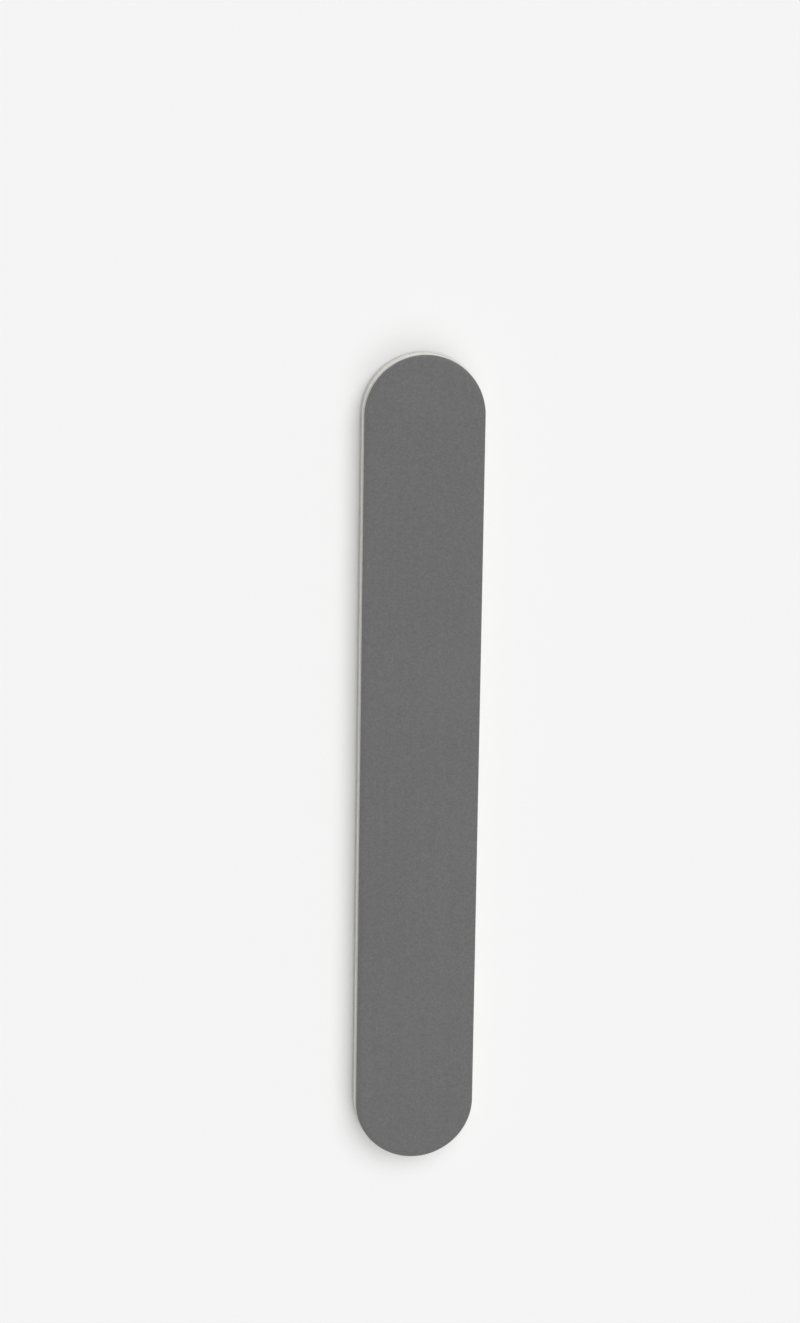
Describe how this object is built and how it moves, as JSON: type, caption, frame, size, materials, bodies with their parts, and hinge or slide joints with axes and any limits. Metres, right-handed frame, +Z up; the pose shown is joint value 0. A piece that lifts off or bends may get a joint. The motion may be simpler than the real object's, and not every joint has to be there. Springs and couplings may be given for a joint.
{
  "type": "nail polishing file",
  "caption": "Slim flat nail polishing file with full-round ends: a plastic core between foam pads, with a dark grey abrasive sheet bonded on each face.",
  "frame": {"origin": "on the surface it lies on, under the middle of the file: the centre of the back face's flat", "axes": "+Y along the file, towards the end that is uppermost in the picture; +X across its width; +Z up out of the front face, the one that the picture shows"},
  "size_m": [0.0222, 0.1524, 0.005],
  "materials": {
    "core_plastic": "white opaque polystyrene sheet, die-cut edge with a soft gloss",
    "adhesive": "clear acrylic pressure-sensitive adhesive film, slightly yellow in the edge",
    "foam": "pale closed-cell foam, matt, with fine cut cells on its side",
    "backing": "pale latex-saturated backing paper, cut edge",
    "front_grit": "dark grey fine abrasive grain in resin, satin",
    "back_grit": "dark grey fine abrasive grain in resin, satin"
  },
  "bodies": {
    "root": {"core_board": "core_plastic", "front_core_adhesive": "adhesive", "front_foam_pad": "foam", "front_face_adhesive": "adhesive", "front_backing_sheet": "backing", "front_grit_coat": "front_grit", "back_core_adhesive": "adhesive", "back_foam_pad": "foam", "back_face_adhesive": "adhesive", "back_backing_sheet": "backing", "back_grit_coat": "back_grit"}
  },
  "joints": []
}
